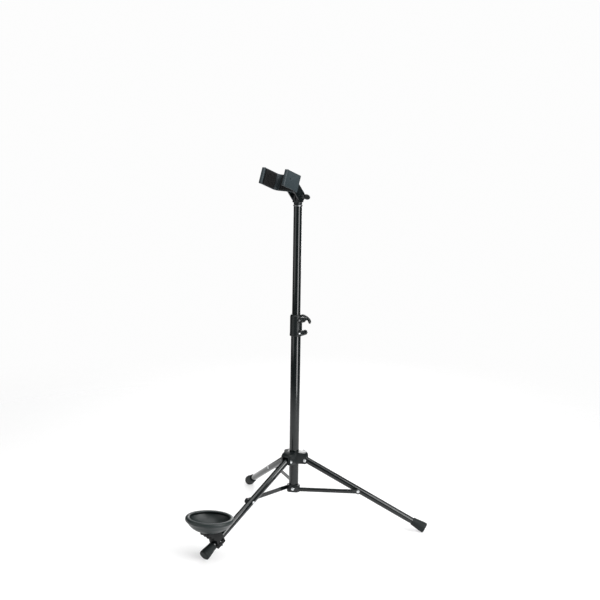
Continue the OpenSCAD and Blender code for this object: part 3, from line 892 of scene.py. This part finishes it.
# %% [markdown]
# ## Soft pads
# A disc of ribbed rubber lies in the cup, and three ribbed foam pads line the cradle.
# Soft mouldings swell between their ribs and fall away at their edges. A pad is an
# outline carried through its height, and it keeps its flat back while its ribbed face
# sinks towards both ends.

# %% Where the cradle stands
# Outside of the cradle's back, forward of the tilt pivot and above it, and its lean
BACK_FORWARD, BACK_UP, LEAN = 42.5 * MM, 38.5 * MM, math.radians(20.3)
back_middle = moved(0, mast_y - BACK_FORWARD, tilt_z + BACK_UP)
cradle_place = back_middle @ turned(-LEAN, (1, 0, 0))
print("cradle's back at", [round(v, 4) for v in cradle_place[:3, 3]])

# %% A ribbed pad
PAD_BACK = 0.25 * MM  # the least thickness, at the pad's edges


def ribbed_pad(name, length, height, thick, rib, ribs, place):
    """X along the pad, Y out of its face and Z up its height.

    At u along and v up, both from -1 to 1, the face stands at
    (thick + rib |sin|^0.7) (1 - |u|^14)^1/2 (0.12 + 0.88 (1 - |v|^8)^1/2), where the sine
    has one half wave for each rib, and the back is flat.
    """
    along = 22 * ribs
    u = np.linspace(-1, 1, along)
    v = np.sin(np.linspace(-math.pi / 2, math.pi / 2, 30))
    wave = np.abs(np.sin((u + 1) / 2 * math.pi * ribs)) ** 0.7
    ends_u = np.clip(1 - np.abs(u) ** 14, 0, 1) ** 0.5
    ends_v = np.clip(1 - np.abs(v) ** 8, 0, 1) ** 0.5
    face = (thick + rib * wave) * ends_u
    face_y = PAD_BACK + (face - PAD_BACK) * (0.12 + 0.88 * ends_v[:, None])
    x = np.repeat((u * length / 2)[None, :], len(v), axis=0)
    z = np.repeat((v * height / 2)[:, None], along, axis=1)
    front = np.stack([x, np.maximum(face_y, PAD_BACK), z], axis=-1)
    back = np.stack([x, np.zeros_like(x), z], axis=-1)[:, ::-1]
    return skin(name, np.concatenate([front, back], axis=1), place, edge_angle=60)


print("pad maker ready")

# %% Pads in the cradle
YOKE_HALF, YOKE_WALL = 43 * MM, 4 * MM
GLUE = 0.1 * MM
PAD_TALL = 43.5 * MM
SIDE_LENGTH, SIDE_THICK, SIDE_RIB, SIDE_RIBS = 50.5 * MM, 3.4 * MM, 2.3 * MM, 8
BACK_LENGTH, BACK_THICK, BACK_RIB, BACK_RIBS = 49.5 * MM, 4.8 * MM, 2.6 * MM, 7
SIDE_MIDDLE = -40.5 * MM  # half way between the back's corner and the front lip
side_face = YOKE_HALF - YOKE_WALL - GLUE
for hand, sign in (("left", -1), ("right", 1)):
    place = cradle_place @ axes(
        (sign * side_face, SIDE_MIDDLE, 0), (0, sign, 0), (-sign, 0, 0), (0, 0, 1)
    )
    pad = ribbed_pad(
        f"side_pad_{hand}", SIDE_LENGTH, PAD_TALL, SIDE_THICK, SIDE_RIB, SIDE_RIBS, place
    )
    coat(fit(pad, f"cradle_pad_{hand}"), pad_foam)
place = cradle_place @ axes((0, -YOKE_WALL - GLUE, 0), (1, 0, 0), (0, -1, 0), (0, 0, 1))
pad = ribbed_pad("back_pad", BACK_LENGTH, PAD_TALL, BACK_THICK, BACK_RIB, BACK_RIBS, place)
coat(fit(pad, "cradle_pad_back"), pad_foam)
print("three cradle pads with", SIDE_RIBS, "ribs a side and", BACK_RIBS, "at the back")

# %% [markdown]
# The cup's pad is turned. Its upper face is a low cushion with four ring-shaped ribs, and
# a hole in its middle clears the head of the cup's screw.

# %% Pad in the cup
PAD_HOLE = 5.6 * MM
PAD_EDGE, PAD_RISE, RING_RISE, RINGS = 0.6 * MM, 3.0 * MM, 0.35 * MM, 4
lo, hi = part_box("cup_pad")
pad_r = (hi.x - lo.x) / 2
inward = np.linspace(0, 1, 70)
crowning = np.clip(1 - np.abs(2 * inward - 1) ** 6, 0, 1) ** 0.5
ripples = RING_RISE * np.abs(np.sin(inward * math.pi * RINGS)) ** 0.7
top = PAD_EDGE + (PAD_RISE + ripples) * crowning
upper = np.stack([pad_r - (pad_r - PAD_HOLE) * inward, top], axis=-1)
disc = np.vstack([upper, [[PAD_HOLE, 0.0], [pad_r - 0.2 * MM, 0.0]]])
disc_place = cup_place @ moved(z=SHELL * MM + GLUE)
seat_disc = lathe("seat_disc", disc, disc_place, 120, ring=True, edge_angle=60)
coat(fit(seat_disc, "cup_pad"), foot_rubber)
print("cup pad radius", round(pad_r / MM, 1), "mm")

# %% [markdown]
# ## Thumb screws
# Two thumb screws have a swept-back wing on a tapering stem. The wing is a rounded
# section carried along an arc, thinning to its tips. The head's thumb piece is an oval
# tablet with a shallow hollow for the thumb on each face.

# %% A wing and its post
WING_THICK = 8 * MM


def wing(name, place, stem, span):
    """A closed section carried along an arc of the given span, on a tapering post.

    The section is p = cos b and q = sin b, each to the power 0.7 with its sign kept, so it
    is an ellipse with fuller corners. It thins towards both ends of the arc.
    """
    big = span * 0.56
    half_angle = math.asin(span / 2 / big)
    a = np.linspace(-half_angle, half_angle, 41)
    k = a / half_angle
    tall = (4.5 - 1.2 * k**2) * MM * np.clip(1 - np.abs(k) ** 12, 0.02, 1) ** 0.5
    wide = WING_THICK / 2 * (1 - 0.2 * k**2) * np.clip(1 - np.abs(k) ** 12, 0.02, 1) ** 0.5
    b = np.arange(28) / 28 * 2 * math.pi
    p = np.sign(np.cos(b)) * np.abs(np.cos(b)) ** 0.7
    q = np.sign(np.sin(b)) * np.abs(np.sin(b)) ** 0.7
    radius = big - 1.0 * MM + tall[:, None] * q
    x = radius * np.sin(a)[:, None]
    z = stem + 3 * MM - big + radius * np.cos(a)[:, None]
    y = wide[:, None] * p
    blade = skin(name + "_blade", np.stack([x, y, z], axis=-1), place, edge_angle=60)
    profile = rounded(
        [(0, 0), (5.4 * MM, 0), (5.5 * MM, 2 * MM), (4.0 * MM, stem - 1 * MM), (0, stem)], 1 * MM, 4
    )
    post = lathe(name + "_post", profile, place, 40)
    return [blade, post]


def bar(name, place, low, high, radius):
    """A plain screw shank between two heights, with its rims rounded."""
    path = [(0, low), (radius, low), (radius, high), (0, high)]
    return lathe(name, rounded(path, 0.3 * MM, 3), place, 32)


print("wing maker ready")

# %% [markdown]
# The collar's wing screw crosses its upper ear, and its bright end shows on the far side.
# A black piece and a bright piece become one object that keeps both finishes, because
# each face remembers which finish it has.

# %% Wing screw of the collar
EAR_HALF = 10 * MM
ear = joints["collar_screw_turn"]["pos_m"]
across = moved(ear[0], mast_y, ear[2]) @ ALONG_Y
wing_place = across @ moved(z=9.3 * MM) @ turned(math.radians(33), (0, 0, 1))
parts = wing("collar_wing", wing_place, stem=17 * MM, span=38 * MM)
parts.append(bar("collar_shank", across, -EAR_HALF, EAR_HALF + 2 * MM, SCREW_R))
for part in parts:
    coat(part, knob_plastic)
end_profile = head(3.4 * MM, 2.6 * MM, EAR_HALF, dimple=0.2, shank=2.4 * MM)
bright_end = lathe("collar_screw_end", end_profile * np.array([1, -1]), across, 40)
coat(bright_end, dull_plate)
fit(joined("collar_thumb_screw", [*parts, bright_end]), "collar_wing_screw")
print("collar's wing screw at", [round(v, 4) for v in ear])

# %% Wing screw of the crown
lo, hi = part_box("crown_wing_screw")
knob = joints["crown_screw_turn"]["pos_m"]
back = moved(0, lo.y, knob[2]) @ ALONG_Y
wing_place = back @ moved(z=20 * MM) @ turned(math.pi / 2, (0, 0, 1))
parts = wing("crown_wing", wing_place, stem=14 * MM, span=26 * MM)
parts.append(bar("crown_shank", back, 0.0, 22 * MM, SCREW_R))
for part in parts:
    coat(part, knob_plastic)
fit(joined("crown_thumb_screw", parts), "crown_wing_screw")
print("crown's wing screw at", [round(v, 4) for v in knob])

# %% [markdown]
# The head's screw passes through the fork and both cheeks of the arm. It has a low cap on
# one side and, on the other, a short post that carries the oval tablet.

# %% An oval tablet


def tablet(name, place, half_x, half_y, half_z, hollow):
    """Radius cos(lat)^0.45 and height |sin(lat)|^0.8, with a hollow in both faces.

    The hollow takes exp(-(radius / 0.55)^4) of its share from the height.
    """
    lat = np.linspace(-math.pi / 2, math.pi / 2, 42)[1:-1, None]
    lon = np.arange(72)[None, :] / 72 * 2 * math.pi
    ring = np.cos(lat) ** 0.45
    height = np.sign(np.sin(lat)) * np.abs(np.sin(lat)) ** 0.8
    dish = 1 - hollow * np.exp(-((ring / 0.55) ** 4))
    x = half_x * ring * np.cos(lon)
    y = half_y * ring * np.sin(lon)
    z = half_z * height * dish + 0 * lon
    low = np.array([0, 0, -half_z * (1 - hollow)])
    return skin(name, np.stack([x, y, z], axis=-1), place, poles=(low, -low), edge_angle=60)


print("tablet maker ready")

# %% Thumb piece of the head
CHEEK = 13.5 * MM  # from the middle to the outside of the arm's cheek
TILT_R, CAP_R = 3 * MM, 6 * MM
pivot = moved(0, mast_y, tilt_z)
lying = pivot @ ALONG_X
cap_profile = head(CAP_R, 4 * MM, CHEEK + 0.3 * MM, dimple=0.15) * np.array([1, -1])
post_path = [
    (0, CHEEK + 0.3 * MM),
    (CAP_R, CHEEK + 0.3 * MM),
    (5.2 * MM, CHEEK + 5 * MM),
    (4.5 * MM, CHEEK + 9.3 * MM),
    (0, CHEEK + 10 * MM),
]
tablet_place = pivot @ moved(x=CHEEK + 18 * MM) @ turned(math.radians(12), (1, 0, 0)) @ ALONG_Y
parts = [
    bar("tilt_shank", lying, -CHEEK - 3 * MM, CHEEK + 8 * MM, TILT_R),
    lathe("tilt_cap", cap_profile, lying, 48),
    lathe("tilt_post", rounded(post_path, 1 * MM, 4), lying, 48),
    tablet("tilt_tablet", tablet_place, 12 * MM, 8 * MM, 2.6 * MM, hollow=0.25),
]
for part in parts:
    coat(part, knob_plastic)
fit(joined("tilt_thumb_piece", parts), "tilt_bolt")
print("thumb piece at", [round(v, 4) for v in tablet_place[:3, 3]])

# %% [markdown]
# ## Floor, light and camera
# A black glossy object is drawn by what it reflects. A tall, narrow soft box on one side
# gives each mast tube its bright line, and a weaker one does the same for the legs. Broad
# boxes in front, behind and overhead give the softer grey. The floor is plain and pale,
# glows a little so that it stays nearly white, and fades into the white around it.

# %% Floor
scene = bpy.context.scene
FLOOR_HALF = 6.0
corners = [(-1, -1), (1, -1), (1, 1), (-1, 1)]
floor_mesh = bpy.data.meshes.new("studio_floor")
floor_mesh.from_pydata(
    [(x * FLOOR_HALF, y * FLOOR_HALF, 0) for x, y in corners], [], [(0, 1, 2, 3)]
)
floor = bpy.data.objects.new("studio_floor", floor_mesh)
scene.collection.objects.link(floor)
paint = Finish("studio_floor_paint")
reach = paint.node("ShaderNodeVectorMath", {"operation": "LENGTH"}, {0: paint.place}).num("Value")
floor_paint = paint.surface(
    Base_Color=paint.blend(paint.noise(1.2, 2) * 0.3, (0.52, 0.52, 0.52), (0.5, 0.5, 0.5)),
    Roughness=0.75,
    Specular_IOR_Level=0.2,
    Emission_Color=(1, 1, 1, 1),
    Emission_Strength=0.5,
    Alpha=1 - paint.band(reach, 0.9, 2.4),
)
coat(floor, floor_paint)
print("floor", 2 * FLOOR_HALF, "m wide")

# %% [markdown]
# The world is white where it is seen and dim where it lights the stand. A bright world
# would fill in every dark edge that black enamel should show.

# %% White surroundings
SEEN, LIGHTING = 0.98, 0.1
world = bpy.data.worlds.new("studio")
scene.world = world
world.use_nodes = True
tree = world.node_tree
backdrop = tree.nodes["Background"].inputs
seen_by = tree.nodes.new("ShaderNodeLightPath")
strength = tree.nodes.new("ShaderNodeMapRange")
strength.inputs["To Min"].default_value = LIGHTING
strength.inputs["To Max"].default_value = SEEN
tree.links.new(seen_by.outputs["Is Camera Ray"], strength.inputs["Value"])
backdrop["Color"].default_value = (1, 1, 1, 1)
tree.links.new(strength.outputs["Result"], backdrop["Strength"])
scene.view_settings.view_transform = "Standard"
print("world strength", SEEN, "seen and", LIGHTING, "as light")

# %% Soft boxes


def around(azimuth, distance, height):
    """A place round the mast: azimuth 0 is on the cup's side and 90 is towards +X."""
    a = math.radians(azimuth)
    return (distance * math.sin(a), 0.1 - distance * math.cos(a), height)


def soft_box(name, place, target, across, tall, watts):
    """A rectangular lamp at place facing the target, across and tall in metres."""
    lamp = bpy.data.lights.new(name, "AREA")
    lamp.shape, lamp.size, lamp.size_y, lamp.energy = "RECTANGLE", across, tall, watts
    holder = bpy.data.objects.new(name, lamp)
    holder.location = place
    facing = Vector(target) - Vector(place)
    holder.rotation_mode = "QUATERNION"
    holder.rotation_quaternion = facing.to_track_quat("-Z", "Y")
    scene.collection.objects.link(holder)


centre = (0.0, 0.1, 0.55)
soft_box("key_box", around(82, 1.75, 1.35), (0.0, 0.1, 1.35), 0.8, 2.7, 50)
soft_box("leg_box", around(120, 1.9, 1.7), (0.0, -0.1, 0.15), 0.4, 1.2, 14)
soft_box("back_box", around(212, 2.8, 1.4), centre, 0.9, 2.4, 40)
soft_box("fill_box", around(-24, 2.9, 1.3), centre, 2.6, 2.4, 26)
soft_box("top_box", (0.3, -0.2, 3.0), centre, 2.6, 2.6, 60)
print("five soft boxes")

# %% [markdown]
# A long lens from four metres away keeps the tubes straight and nearly parallel. The
# camera is placed by its direction from the point it aims at, with a slight roll.

# %% Camera
camera_data = bpy.data.cameras.new("camera")
camera_data.lens, camera_data.sensor_width = 82.2, 36.0
camera_data.clip_start, camera_data.clip_end = 0.05, 60
camera = bpy.data.objects.new("camera", camera_data)
scene.collection.objects.link(camera)
aim = Vector((0.0081, 0.1202, 0.6754))
azimuth, elevation, distance, roll = math.radians(38.42), math.radians(10.62), 3.9524, 0.016
back_vector = Vector(
    (
        math.sin(azimuth) * math.cos(elevation),
        -math.cos(azimuth) * math.cos(elevation),
        math.sin(elevation),
    )
)
camera.location = aim + back_vector * distance
camera.rotation_mode = "QUATERNION"
camera.rotation_quaternion = (-back_vector).to_track_quat("-Z", "Y") @ Quaternion((0, 0, 1), roll)
scene.camera = camera
print("camera at", [round(v, 3) for v in camera.location])
